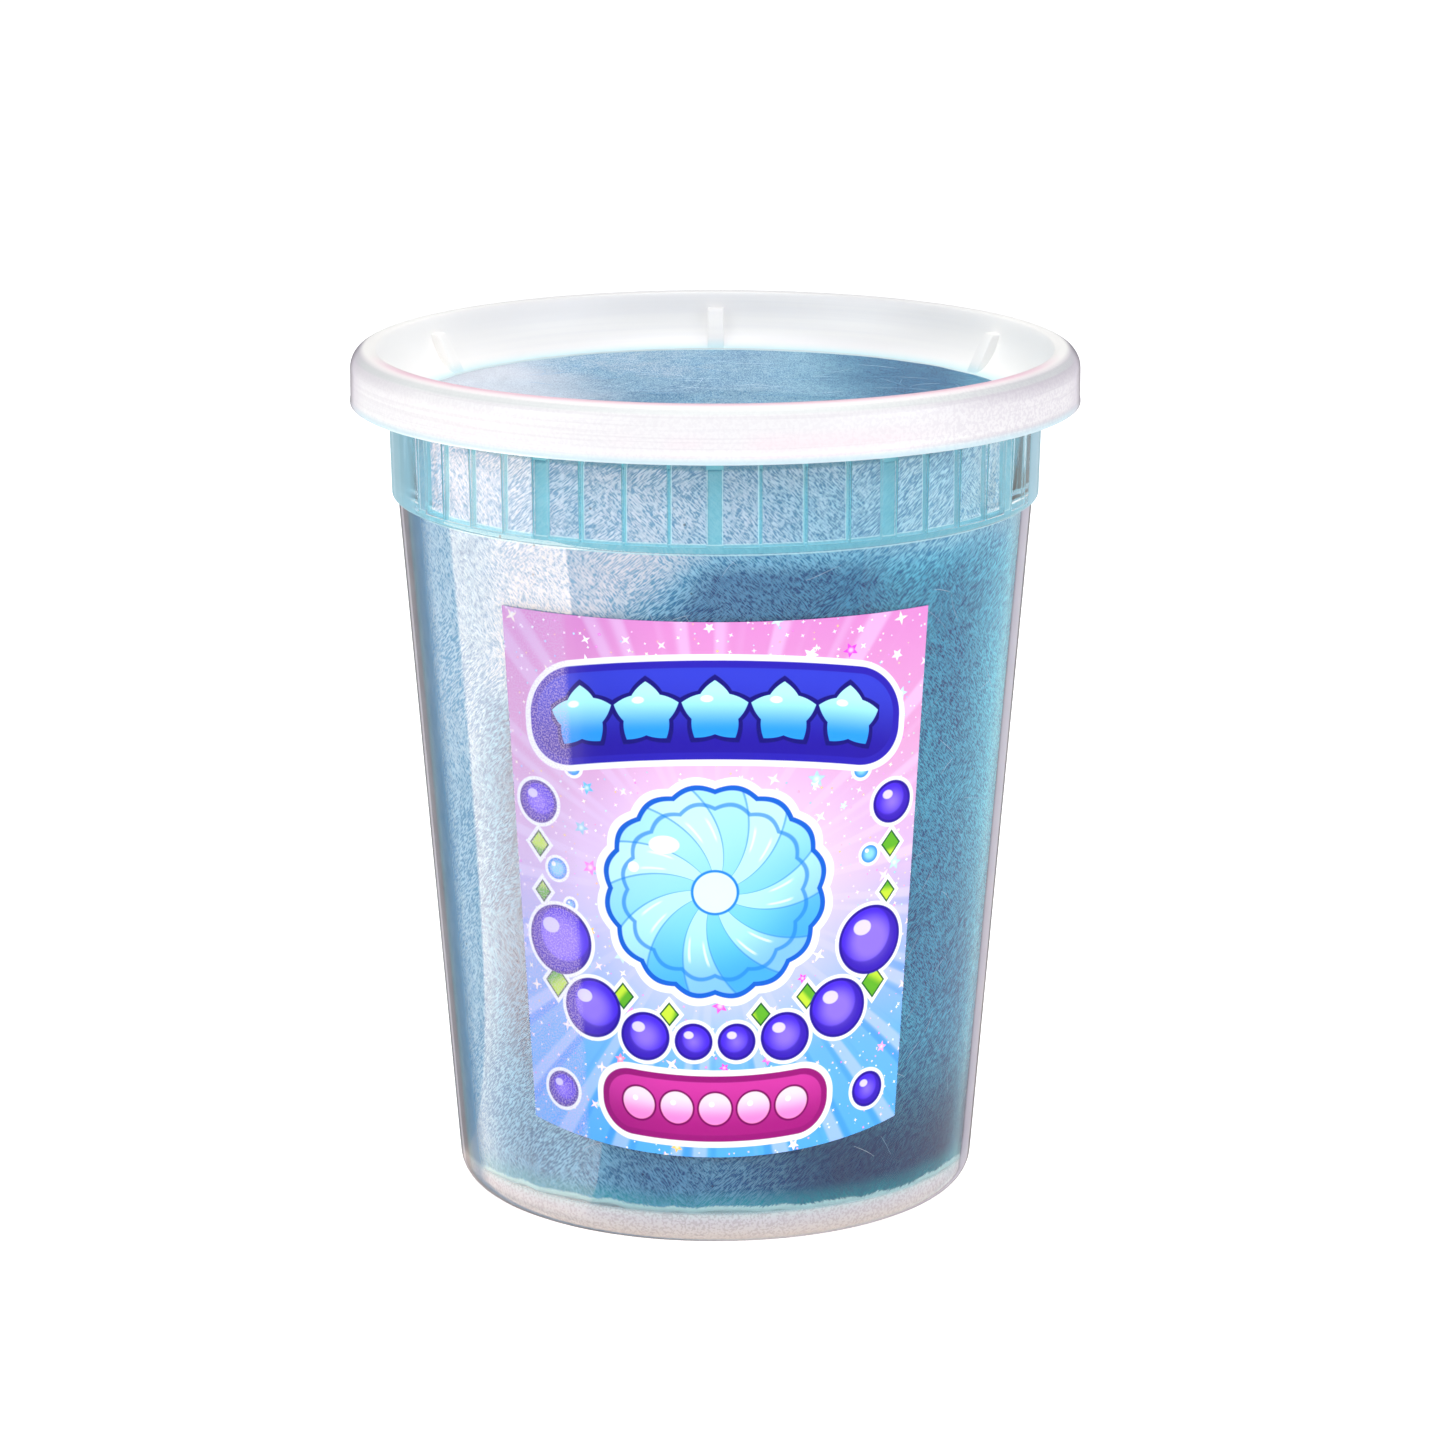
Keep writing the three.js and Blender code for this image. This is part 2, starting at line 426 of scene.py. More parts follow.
def tubPlastic():
    paint = Paint("clearTubPlastic")
    place = paint.objectPlace()
    xyz = paint.split(place)
    height = xyz.out("Z") * perMetre
    drawn = paint.vector("MULTIPLY", place, (1, 1, 0.25))     # flow marks run up the wall
    ripple = paint.noise(drawn, 70, 2)
    haze = paint.noise(place, 160, 3)
    roughness = 0.015 + 0.05 * paint.fade(haze, 0.45, 0.75)
    plastic = paint.surface({
        "Base Color": tub["tint"],
        "Roughness": roughness,
        "IOR": tub["ior"],
        "Transmission Weight": 1.0,
        "Normal": paint.bump(ripple, 0.03, 0.0006),
    })

    # edge on, where the light runs along inside the wall, the plastic is milky with dark borders. Its
    # colours are painted: a dark teal band of painted shade beside the left edge, a pale teal band of
    # painted light beside the right edge, and grey bands and dark lines as painted reflections along the
    # silhouette
    facing = paint.node("ShaderNodeLayerWeight", None, {"Blend": 0.5}, out="Facing")
    radius = paint.axisDistance(place)
    onRib = paint.fade(height, 118.1, 118.3) * paint.fade(radius, 53.2, 53.0)
    leftward = paint.fade(xyz.out("X"), 0.012, -0.012)
    besideEdge = paint.fade(facing, 0.58, 0.69) * (0.2 + leftward * 0.6)
    edgeOn = (paint.fade(facing, 0.745, 0.77) * 0.88).maths("MAXIMUM", besideEdge) * (1 - onRib)
    leftEdge = paint.ramp(facing, [
        (0.64, tone(22, 98, 140)),
        (0.72, tone(10, 80, 114)),
        (0.765, tone(46, 88, 102)),
        (0.8, tone(84, 76, 82)),
        (0.85, tone(94, 86, 92)),
        (0.872, tone(164, 158, 166)),
        (0.9, tone(148, 142, 150)),
        (0.915, tone(20, 16, 24)),
    ])
    rightEdge = paint.ramp(facing, [
        (0.64, tone(104, 180, 200)),
        (0.71, tone(146, 206, 214)),
        (0.74, tone(62, 98, 114)),
        (0.76, tone(92, 92, 106)),
        (0.79, tone(164, 158, 172)),
        (0.895, tone(176, 170, 182)),
        (0.915, tone(44, 38, 50)),
    ])
    # the ribs' sides are painted bright teal: the candy's colour seen in them, brightened as painted light
    # against their shade
    ribSide = paint.fade(height, 118.1, 118.3) * paint.fade(radius, 52.5, 52.35)
    edgeColour = paint.layered(paint.mix(leftward, rightEdge, leftEdge), [
        # painted pale teal along the shelf's lower edge in place of the dark border
        (paint.fade(height, 117.2, 117.8) * 0.75, tone(136, 188, 204)),
        (ribSide, tone(128, 218, 234)),
    ])
    # the moulded foot is a little frosted; its colour is painted by height: warmer and darker at the bottom
    # as painted floor reflection and contact shade, pale cyan at the top as the candy's painted glow
    foot = paint.fade(height, tub["fillLine"] + 0.4, tub["fillLine"] - 0.8)
    grit = paint.noise(place, 2300, 1)
    footColour = paint.ramp(paint.fade(height + grit * 1.2, 0.4, tub["fillLine"] + 1, False), [
        (0.0, tone(176, 160, 148)),
        (0.3, tone(222, 208, 200)),
        (0.7, tone(222, 218, 226)),
        (1.0, tone(208, 240, 240)),
    ])
    footColour = paint.mix(paint.fade(grit, 0.44, 0.6) * 0.5, footColour, tone(172, 158, 158))
    milk = paint.surface({
        "Base Color": paint.mix(foot * (1 - edgeOn), edgeColour, footColour),
        "Roughness": 0.3 + 0.3 * haze,
        "Specular IOR Level": 0.12,
    })
    share = edgeOn.maths("MAXIMUM", foot * 0.5).maths("MAXIMUM", ribSide * 0.75)
    wall = paint.blend(share, plastic, milk)
    return paint.finish(letLightThrough(paint, wall))


def makeTub():
    body = turnProfile("clear_tub", tubProfile(), turnSteps)
    roundEdges(body, tub["edgeRounding"])
    thin = makeRib(tub["ribThin"])
    wide = makeRib(tub["ribWide"])
    ribs = []
    for index in range(ribCount):
        fromFront = min(index, ribCount - index)
        pattern = wide if fromFront % tub["ribWideEvery"] == 0 else thin
        ribs.append(turnedCopy(pattern, fullTurn * index / ribCount))
    fuse(body, ribs)
    for pattern in (thin, wide):
        bpy.data.objects.remove(pattern)
    setMaterials(body, tubPlastic())
    smooth(body)
    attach(body, "root")
    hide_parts("tub")


makeTub()
print("tub ready")


lid = {
    "wall": 0.8,
    "beadWall": 0.7,
    "channelBevel": 1.7,
    "skirtBottom": 132.9,
    "skirtRadius": 60.1,
    "lipRadius": 60.2,
    "top": 142.0,
    "beadRadius": 3.4,
    "innerRadius": 55.5,
    "panelRadius": 49.4,
    "panelTop": 132.8,
    "edgeRounding": 0.14,
    "panelIor": 1.05,        # the thin panel mirrors little
    "lugCount": 6,
    "lugWidth": 2.8,
    "lugHeight": 6.4,
    "lugProud": 1.9,
}


def lidProfile():
    panelBottom = lid["panelTop"] - lid["wall"]
    skirtInside = lid["skirtRadius"] - lid["wall"]
    ceiling = lid["top"] - lid["beadWall"]
    catch = tub["flange"] - 1.2
    beadCentre = lid["skirtRadius"] - lid["beadRadius"]
    recessTop = (lid["innerRadius"] + lid["beadWall"], ceiling - 0.5)
    recessUnder = (lid["panelRadius"] + 4.8, panelBottom)
    recessOver = (lid["panelRadius"] + 4.2, lid["panelTop"])
    return [
        (0, panelBottom),
        *bend((lid["panelRadius"] - 0.2, panelBottom), recessUnder, recessTop, 12),
        (lid["innerRadius"] + 1.2, ceiling),
        (skirtInside - lid["channelBevel"], ceiling),
        (skirtInside, ceiling - lid["channelBevel"]),
        (skirtInside, catch + 0.6),
        (skirtInside - 0.6, catch),
        (skirtInside, catch - 0.8),
        (skirtInside, lid["skirtBottom"]),
        (lid["lipRadius"], lid["skirtBottom"]),
        (lid["lipRadius"] - 0.02, lid["skirtBottom"] + 0.6),
        (lid["skirtRadius"], lid["skirtBottom"] + 0.9),
        *arc(beadCentre, lid["top"] - lid["beadRadius"], lid["beadRadius"], 0, 90, 12),
        (lid["innerRadius"] + 0.35, lid["top"] - 0.25),
        *bend((lid["innerRadius"], lid["top"] - 1), recessOver,
              (lid["panelRadius"], lid["panelTop"]), 14),
        (0, lid["panelTop"]),
    ]


def makeLug():
    # an upright bar at the front, its outer side rooted half way into the recess wall
    low = lid["panelTop"] - lid["wall"] / 2
    high = lid["panelTop"] + lid["lugHeight"]
    face = lid["innerRadius"] - lid["lugProud"]
    root = bend((lid["panelRadius"] + 0.4, low), (lid["panelRadius"] + 3.9, low),
                (lid["innerRadius"] - 0.15, high), 8)
    lug = pullProfile("stackingLug", [*root, (face, high), (face - 0.5, high - 0.6)])
    editAll(lug)
    bpy.ops.mesh.edge_face_add()
    half = lid["lugWidth"] / 2 * mm
    bpy.ops.transform.translate(value=(-half, 0, 0))
    bpy.ops.mesh.extrude_region_move(TRANSFORM_OT_translate={"value": (2 * half, 0, 0)})
    bpy.ops.mesh.select_all(action="SELECT")
    bpy.ops.mesh.normals_make_consistent(inside=False)
    leaveEdit()
    roundEdges(lug, 0.25, angle=50, segments=3)
    return lug


def panelPlastic():
    paint = Paint("clearPanelPlastic")
    place = paint.objectPlace()
    ripple = paint.noise(place, 55, 2)
    scuffs = paint.noise(paint.vector("MULTIPLY", place, (40, 400, 1)), 2, 3)
    roughness = 0.02 + 0.05 * paint.fade(scuffs, 0.5, 0.8)
    plastic = paint.surface({
        "Base Color": (0.97, 0.985, 0.99, 1),
        "Roughness": roughness,
        "IOR": lid["panelIor"],
        "Transmission Weight": 1.0,
        "Normal": paint.bump(ripple, 0.1, 0.0006),
    })
    return paint.finish(letLightThrough(paint, plastic))


def rimPlastic():
    paint = Paint("milkyRimPlastic")
    place = paint.objectPlace()
    xyz = paint.split(place)
    height = xyz.out("Z") * perMetre
    radius = paint.axisDistance(place)
    rings = paint.noise(paint.vector("MULTIPLY", place, (8, 8, 700)), 1, 3, 0.6)   # fine turning lines
    broad = paint.noise(paint.vector("MULTIPLY", place, (5, 5, 260)), 1, 1)
    clouds = paint.noise(place, 45, 2)
    grit = paint.noise(place, 1800, 1)
    outside = paint.fade(radius, 57.6, 59.0)
    sideways = xyz.out("X") * perMetre
    blush = paint.fade(clouds, 0.40, 0.62) * paint.fade(height, 139.0, 135.5)
    blush = blush * paint.fade(abs(sideways), 48, 24)
    shaded = paint.fade(sideways, 18, 58) * 0.38
    lines = paint.noise(paint.vector("MULTIPLY", place, (14, 14, 1900)), 1, 2, 0.6)
    onBead = paint.fade(height, 137.8, 140.4)
    skin = paint.mix(paint.fade(broad, 0.35, 0.65), tone(241, 240, 240), tone(230, 229, 231))
    skin = paint.layered(skin, [
        (blush * paint.fade(rings, 0.25, 0.6) * 0.3, tone(246, 206, 220)),
        (shaded, tone(206, 200, 207)),
        (paint.fade(lines, 0.5, 0.62) * (0.16 + shaded * 0.6), tone(186, 182, 190)),
        (paint.fade(grit, 0.42, 0.6) * (shaded + 0.15), tone(200, 194, 204)),
        # painted shade on the bead's top towards both ends
        (onBead * paint.fade(sideways, 30, 55) * 0.45, tone(184, 175, 188)),
        (onBead * paint.fade(sideways, -44, -57) * 0.35, tone(190, 182, 194)),
    ])
    # the recess is near white at the front and painted darker grey at the back: painted shade
    atBack = paint.fade(xyz.out("Y"), 0.020, 0.052)
    streaks = paint.fade(rings, 0.35, 0.65) * 0.5
    backWall = paint.mix(streaks, tone(237, 236, 235), tone(228, 227, 230))
    recess = paint.mix(atBack, tone(255, 254, 252), backWall)
    front = paint.fade(xyz.out("Y"), -0.008, -0.034)
    # a painted pink fringe of light along the front of the crest, and painted shade just behind the crest
    crest = paint.fade(radius, 58.5, 57.0) * paint.fade(height, 140.2, 140.9)
    behindCrest = paint.fade(abs(radius - 59.0), 0.6, 0.2) * paint.fade(height, 139.6, 140.2)
    # painted cyan glow from the candy at the skirt's foot and in the recess beside the panel
    foot = paint.fade(height, 134.4, 133.1) * outside
    candyGlow = paint.fade(radius, 52.4, 49.5) * paint.fade(height, 135.0, 133.0)
    colour = paint.layered(paint.mix(outside, recess, skin), [
        (crest * front * 0.52, tone(228, 140, 182)),
        (behindCrest * 0.4, tone(200, 212, 208)),
        (foot * 0.75, tone(182, 214, 224)),
        (candyGlow * 0.6, tone(176, 232, 242)),
    ])
    plastic = paint.surface({
        "Base Color": colour,
        "Roughness": 0.3 + 0.16 * rings,
        "IOR": 1.5,
        "Transmission Weight": 0.12,
        "Normal": paint.bump(rings, 0.1, 0.0002),
    })
    # edge on the plastic turns grey, darkest at the silhouette: partly the more plastic there is to look
    # through, partly painted shade at the lid's ends
    facing = paint.node("ShaderNodeLayerWeight", None, {"Blend": 0.5}, out="Facing")
    deep = paint.surface({
        "Base Color": paint.ramp(facing, [(0.84, tone(196, 188, 200)), (0.94, tone(88, 76, 94))]),
        "Roughness": 0.4,
        "IOR": 1.5,
    })
    edgeOn = paint.fade(facing, 0.70, 0.92) * outside * 0.85
    rim = paint.blend(edgeOn, plastic, deep)
    return paint.finish(letLightThrough(paint, rim, 0.6))


def makeLid():
    body = turnProfile("snap_lid", lidProfile(), turnSteps)
    roundEdges(body, lid["edgeRounding"])
    pattern = makeLug()
    lugs = [turnedCopy(pattern, math.pi + fullTurn * i / lid["lugCount"]) for i in range(lid["lugCount"])]
    fuse(body, lugs)
    bpy.data.objects.remove(pattern)
    setMaterials(body, panelPlastic(), rimPlastic())
    panelEdge = (lid["panelRadius"] + 0.4) * mm
    panelHeight = (lid["panelTop"] + 0.3) * mm
    for face in body.data.polygons:
        inPanel = face.center.xy.length < panelEdge and face.center.z < panelHeight
        face.material_index = 0 if inPanel else 1
    smooth(body)
    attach(body, "root")
    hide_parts("lid")


makeLid()
print("lid ready")


candy = {
    "sides": 276,
    "reach": 0.25,         # how far the candy is pressed into the wall, so that no gap shows
    "relief": 0.16,
    "floorReach": 0.1,
    "edge": tub["fillLine"],
    "edgeWave": 0.7,
    "collarRadius": 51.9,
    "collarRings": 11,
    "lidReach": 0.32,
    "rings": 120,
    "topRadius": 48.6,
    "topStep": 1.2,
    "topRings": 40,
    "grain": 4200,         # grains to the metre
}


def edgeRise(angle):
    wave = 0.5 * math.sin(3 * angle + 2.4) + 0.3 * math.sin(7 * angle) + 0.2 * math.sin(13 * angle + 1)
    fine = 0.22 * math.sin(29 * angle + 0.4) + 0.16 * math.sin(47 * angle + 2)
    return candy["edgeWave"] * (wave + fine)


def candyProfile():
    floorTop = tub["underside"] + tub["floor"] - candy["floorReach"]
    edgeRadius = innerWall(candy["edge"]) + candy["reach"]
    shoulder = tub["collarBottom"] + 1.2
    top = lid["panelTop"] - lid["wall"] + candy["lidReach"]
    rings = candy["rings"]
    heights = [candy["edge"] + 0.7 + (shoulder - candy["edge"] - 0.7) * i / rings for i in range(rings + 1)]
    side = [(min(innerWall(z) + candy["reach"], candy["collarRadius"] + 0.1), z) for z in heights]
    collar = [(candy["collarRadius"], shoulder + 1 + i) for i in range(candy["collarRings"])]
    inwards = [(candy["topRadius"] - candy["topStep"] * i, top) for i in range(candy["topRings"])]
    return [
        (0, floorTop),
        (tub["footInside"] - 1.6, floorTop),
        (tub["footInside"] + 1.5, floorTop + 0.6),
        *bend((tub["footInside"] + 2.6, candy["edge"] - 1.6), (edgeRadius - 0.6, candy["edge"] - 1.3),
              (edgeRadius, candy["edge"]), 6),
        *side,
        *collar,
        *bend((candy["collarRadius"], shoulder + 11.6), (candy["collarRadius"] - 0.2, top - 0.1),
              (49.0, top), 7),
        *inwards,
        (0, top),
    ]


def spunSugar():
    paint = Paint("spunSugar")
    place = paint.objectPlace()
    xyz = paint.split(place)
    height = xyz.out("Z") * perMetre
    sideways = xyz.out("X") * perMetre
    turn = xyz.out("X").maths("ARCTAN2", -xyz.out("Y")) / fullTurn

    def strands(twist, stretch, scale):
        # grains drawn out along a slant: the piece is twisted about its axis before the noise reads it
        turned = paint.node("ShaderNodeVectorRotate", {"rotation_type": "Z_AXIS"},
                            {"Vector": place, "Angle": xyz.out("Z") * twist})
        drawn = paint.vector("MULTIPLY", turned, (scale, scale, scale / stretch))
        return paint.noise(drawn, 1, 0, 0.5, 0.2)

    rising = strands(18, 2.7, candy["grain"])
    falling = strands(-22, 2.7, candy["grain"] * 0.9)
    drift = paint.noise(place, 42, 1)
    lean = paint.fade(drift, 0.42, 0.58)
    grain = rising + (falling - rising) * lean
    crest = paint.fade(grain, 0.42, 0.58)              # the pale crests of the grain
    soft = paint.fade(paint.noise(place, 520, 1), 0.3, 0.7)
    wisp = paint.fade(abs(strands(-11, 2.4, 1150) - 0.5), 0.085, 0.02) * paint.fade(drift, 0.62, 0.44)

    # broad colour, deep blue in the middle and teal to the right, with painted light and shade: paler to the
    # left, the top left, the low left, the right hem and in the collar, a painted glow under the shelf, and
    # painted shade above the label and on the top
    billow = paint.noise(place, 30, 1, 0.5, 0.4)
    toLeft = paint.fade(sideways, 0, -32)
    toRight = paint.fade(sideways, 2, 36)
    inCollar = paint.fade(height, 117.6, 119.0)
    onTop = paint.fade(height, 131.4, 131.9)
    rightHem = paint.fade(sideways, 37, 47)
    drifted = sideways + (billow - 0.5) * 16          # the zones' borders wander a little
    topLeft = paint.fade(drifted - (height - 107) * 1.2, -2, -22) * (1 - inCollar)
    leftSide = paint.fade(sideways, -30, -40) * (1 - inCollar)
    lowLeft = paint.fade(sideways, -4, -26) * paint.fade(height, 40, 15)
    underShelf = paint.fade(height, 110.5, 117.6) * (1 - inCollar)
    underBand = paint.fade(height, 116.5, 113) * paint.fade(height, 97, 105)
    underBand = underBand * paint.fade(drifted, -10, 2) * paint.fade(drifted, 32, 22)
    acrossTop = sideways + (billow - 0.5) * 36
    rightOfTop = onTop * paint.fade(acrossTop, 13, 32)
    # painted light: the top left, the left side, the right hem, the low left, the glow under the shelf and
    # the collar
    pale = (topLeft * (0.68 - leftSide * 0.24)).maths("MAXIMUM", leftSide * 0.46)
    pale = pale + rightHem * 0.3 + lowLeft * 0.16
    pale = pale.maths("MAXIMUM", underShelf * (0.26 + toRight * 0.12)) + inCollar * 0.33
    pale = pale + (inCollar - onTop) * toLeft * 0.16
    # painted shade: the top's right, the top, and the band above the label
    dark = rightOfTop * 0.3 + onTop * 0.1 + underBand * 0.2
    shade = 0.09 + (billow - 0.5) * 0.5 + (soft - 0.5) * 0.06 + pale - dark
    deepTone = paint.ramp(shade, [
        (0.0, tone(18, 72, 124)),
        (0.35, tone(44, 126, 176)),
        (0.7, tone(98, 164, 204)),
        (1.0, tone(168, 202, 226)),
    ])
    paleTone = paint.ramp(shade, [
        (0.0, tone(84, 148, 190)),
        (0.35, tone(140, 202, 228)),
        (0.7, tone(200, 224, 238)),
        (1.0, tone(232, 240, 248)),
    ])
    navy = paint.fade(height, 36, 12) * paint.fade(sideways, -6, 22)
    rise = paint.node("ShaderNodeAttribute", {"attribute_name": "edgeRise"}, out="Fac")
    aboveEdge = height - rise - candy["edge"]
    hem = paint.fade(aboveEdge, 4.2, 0.8) * (1 - crest * 0.5)
    fringe = paint.fade(aboveEdge + grain * 0.8, 1.15, 0.75)

    # where the plastic presses on the candy it lies flat and is painted teal: the shelf and the ribs; a
    # painted dark teal shadow just under the lid's edge, and painted highlights along the ribs' and the
    # shelf's edges
    across = ((turn * ribCount + 0.5).maths("FRACT") - 0.5) * (fullTurn * candy["collarRadius"] / ribCount)
    index = abs((turn * ribCount).maths("ROUND"))
    wide = index.maths("MODULO", float(tub["ribWideEvery"])).maths("LESS_THAN", 0.5)
    halfRib = wide * 0.88 + 0.18
    fromRib = abs(across) - halfRib
    ribbed = paint.fade(height, 118.7, 118.9) * paint.fade(height, 131.9, 131.7)
    pressed = paint.fade(fromRib, 0.05, -0.04) * ribbed
    shelf = paint.fade(abs(height - 118.1), 0.75, 0.6)
    # painted shadow under the lid's edge
    under = paint.fade(height, 130.3, 130.8) * paint.fade(height, 131.9, 131.7)
    flat = pressed.maths("MAXIMUM", shelf)
    # the pressed teal is painted darker on the left, under the tall reflection
    pressedTone = paint.mix(paint.fade(sideways, -26, -31) * ribbed, tone(112, 192, 210), tone(84, 160, 186))
    # painted highlights along the ribs' sides and the shelf's edges
    ribHighlight = paint.fade(abs(fromRib - 0.14), 0.11, 0.04) * ribbed
    shelfHighlight = paint.fade(abs(height - 117.15), 0.2, 0.08).maths(
        "MAXIMUM", paint.fade(abs(height - 118.85), 0.14, 0.05) * 0.7)
    specks = paint.node("ShaderNodeTexVoronoi", {"feature": "F1"}, {"Vector": place, "Scale": 190})
    speck = paint.fade(specks.out("Distance"), 0.045, 0.03) * 0.75

    colour = paint.layered(paint.mix(crest * 0.92 + soft * 0.08, deepTone, paleTone), [
        (wisp * 0.6, paleTone),
        # painted light on the left, tinted lilac
        (topLeft.maths("MAXIMUM", leftSide) * (0.8 - leftSide * 0.5), (1.32, 1.03, 1, 1), "MULTIPLY"),
        (toRight * (0.85 - underShelf * 0.65 - inCollar * 0.5), (0.42, 1.25, 1.15, 1), "MULTIPLY"),
        # the collar warmer in tone, part of its painted light
        (inCollar - onTop, (1.36, 0.98, 0.95, 1), "MULTIPLY"),
        # painted shade on the top, greyer, and deeper on its right
        (onTop * 0.8, (1.12, 0.68, 0.62, 1), "MULTIPLY"),
        (rightOfTop, (0.46, 0.7, 0.8, 1), "MULTIPLY"),
        # painted light on the top's left
        (onTop * paint.fade(acrossTop, -16, -42) * 0.5, tone(238, 230, 232)),
        # painted navy shade low on the right
        (navy * 0.85, tone(10, 28, 88)),
        (hem * 0.6, tone(40, 170, 182)),
        (fringe * 0.85, tone(214, 248, 248)),
        # painted teal where the plastic presses, a painted shadow under the lid's edge, painted highlights
        # along the ribs and the shelf
        (flat * 0.85, pressedTone),
        (under * 0.7, tone(30, 126, 156)),
        (ribHighlight.maths("MAXIMUM", shelfHighlight) * 0.75, tone(206, 242, 248)),
        (speck, tone(18, 40, 70)),
    ])
    sugar = paint.surface({
        "Base Color": colour,
        "Roughness": 0.85,
        "Specular IOR Level": 0.2,
        "Normal": paint.bump((crest + soft * 0.6 + wisp * 0.5) * (1 - flat * 0.8), 0.5, 0.0003),
    })
    return paint.finish(sugar)


def makeCandy():
    body = turnProfile("packed_cotton_candy", candyProfile(), candy["sides"])
    lowest = (candy["edge"] - 2) * mm
    highest = (candy["edge"] + 9) * mm
    risen = body.data.attributes.new("edgeRise", "FLOAT", "POINT")
    for vertex in body.data.vertices:
        if vertex.co.z < highest and vertex.co.xy.length > tub["footInside"] * mm:
            angle = math.atan2(vertex.co.x, -vertex.co.y)
            strength = min(1, (highest - vertex.co.z) / (highest - lowest))
            risen.data[vertex.index].value = edgeRise(angle) * strength
            vertex.co.z += edgeRise(angle) * strength * mm
    clouds = bpy.data.textures.new("candySwells", "CLOUDS")
    clouds.noise_scale = 0.009
    clouds.noise_depth = 2
    applyModifier(body, "DISPLACE", texture=clouds, texture_coords="LOCAL", mid_level=0.5,
                  strength=2 * candy["relief"] * mm)
    setMaterials(body, spunSugar())
    selectOnly(body)
    bpy.ops.object.shade_smooth()
    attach(body, "root")
    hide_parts("cotton_candy")


makeCandy()
print("cotton candy ready")


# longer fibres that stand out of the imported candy
fibres = {
    "seed": 7,
    "onWall": 340,
    "onTop": 90,
    "atEdge": 70,
    "thickness": 0.034,      # radius of one fibre
    "steps": 11,
    "shortest": 3.0,
    "longest": 9.0,
    "depth": 0.44,           # how far into the wall a fibre lies, just proud of the candy
    "topReach": 46,
    "topLimit": 48,
}


def wallPoint(angle, height):
    radius = min(innerWall(height) + fibres["depth"], candy["collarRadius"] + 0.2) * mm
    return Vector((radius * math.sin(angle), -radius * math.cos(angle), height * mm))


def makeFibres():
    rng = random.Random(fibres["seed"])
    data = bpy.data.curves.new("candy_fibres", "CURVE")
    data.dimensions = "3D"
    data.bevel_depth = fibres["thickness"] * mm
    data.bevel_resolution = 0
    data.use_fill_caps = True

    def addFibre(points):
        spline = data.splines.new("POLY")
        spline.points.add(len(points) - 1)
        for i, (slot, point) in enumerate(zip(spline.points, points)):
            slot.co = (*point, 1)
            slot.radius = 0.35 + 0.65 * math.sin(math.pi * (i + 0.5) / len(points))

    def wander(length, heading, sway):
        # sideways and upwards steps of a fibre that slowly turns
        step = length / fibres["steps"]
        turning = rng.uniform(-sway, sway)
        sideways = upwards = 0.0
        path = []
        for _ in range(fibres["steps"] + 1):
            path.append((sideways, upwards))
            sideways += step * math.cos(heading)
            upwards += step * math.sin(heading)
            heading += turning
            turning += rng.uniform(-0.3, 0.3) * sway
        return path

    for _ in range(fibres["onWall"]):
        angle = rng.uniform(-math.pi, math.pi)
        height = rng.uniform(12, 116)
        slant = math.radians(rng.choice((38, 46, 128, 140)) + rng.gauss(0, 14))
        path = wander(rng.uniform(fibres["shortest"], fibres["longest"]), slant, 0.07)
        radius = innerWall(height)
        points = [wallPoint(angle + sideways / radius, height + upwards) for sideways, upwards in path
                  if candy["edge"] + 3 < height + upwards < tub["collarBottom"] - 1]
        if len(points) > 4:
            addFibre(points)
    top = lid["panelTop"] - lid["wall"] + candy["lidReach"] + 0.19
    for _ in range(fibres["onTop"]):
        angle = rng.uniform(-math.pi, math.pi)
        reach = fibres["topReach"] * math.sqrt(rng.random())
        path = wander(rng.uniform(5, 12), rng.gauss(0, 0.5), 0.1)
        root = Vector((reach * math.sin(angle), reach * math.cos(angle), top))
        points = [(root + Vector((x, y, 0))) * mm for x, y in path]
        if all(point.xy.length < fibres["topLimit"] * mm for point in points):
            addFibre(points)
    for _ in range(fibres["atEdge"]):
        # short curls that hang below the candy's lower edge, inside the wall
        angle = rng.uniform(-math.pi, math.pi)
        low = candy["edge"] + edgeRise(angle)
        path = wander(rng.uniform(2.2, 4.5), rng.gauss(-1.2, 0.5), 0.3)
        points = []
        for sideways, upwards in path:
            height = max(low + 0.9 + upwards, 4.4)
            radius = (innerWall(height) - 0.12) * mm
            around = angle + sideways / innerWall(height)
            points.append(Vector((radius * math.sin(around), -radius * math.cos(around), height * mm)))
        addFibre(points)

    strands = bpy.data.objects.new("candy_fibres", data)
    scene.collection.objects.link(strands)
    selectOnly(strands)
    bpy.ops.object.convert(target="MESH")
    strands = bpy.context.object
    paint = Paint("paleSugarFibre")
    tint = paint.noise(paint.objectPlace(), 120, 1)
    colour = paint.ramp(paint.fade(tint, 0.35, 0.65), [(0, tone(104, 164, 206)), (1, tone(206, 226, 242))])
    sugar = paint.surface({
        "Base Color": colour, "Roughness": 0.5 + 0.2 * tint, "Specular IOR Level": 0.3})
    setMaterials(strands, paint.finish(sugar))
    bpy.ops.object.shade_smooth()
    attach(strands, "root")


makeFibres()
print("fibres ready")


label = {
    "halfAngle": 40.8,      # degrees either side of the front
    "bottom": 16,
    "cornerRise": 3.7,      # the lower edge is cut as a bow, higher at its corners
    "top": 106.4,
    "gap": 0.12,
    "thickness": 0.18,
    "across": 72,
    "up": 60,
    "printRadius": 48.0,    # millimetres of print to a radian round the tub
    "sharpness": 0.09,      # soft edge of every printed shape
}

banner = {
    "middle": 76.0, "halfWidth": 28.6, "halfHeight": 7.0, "corner": 6.2, "bow": 0.0045,
    "white": 2.2, "navy": 1.2, "pitch": 10.4, "starSize": 5.3, "row": 26.0,
}

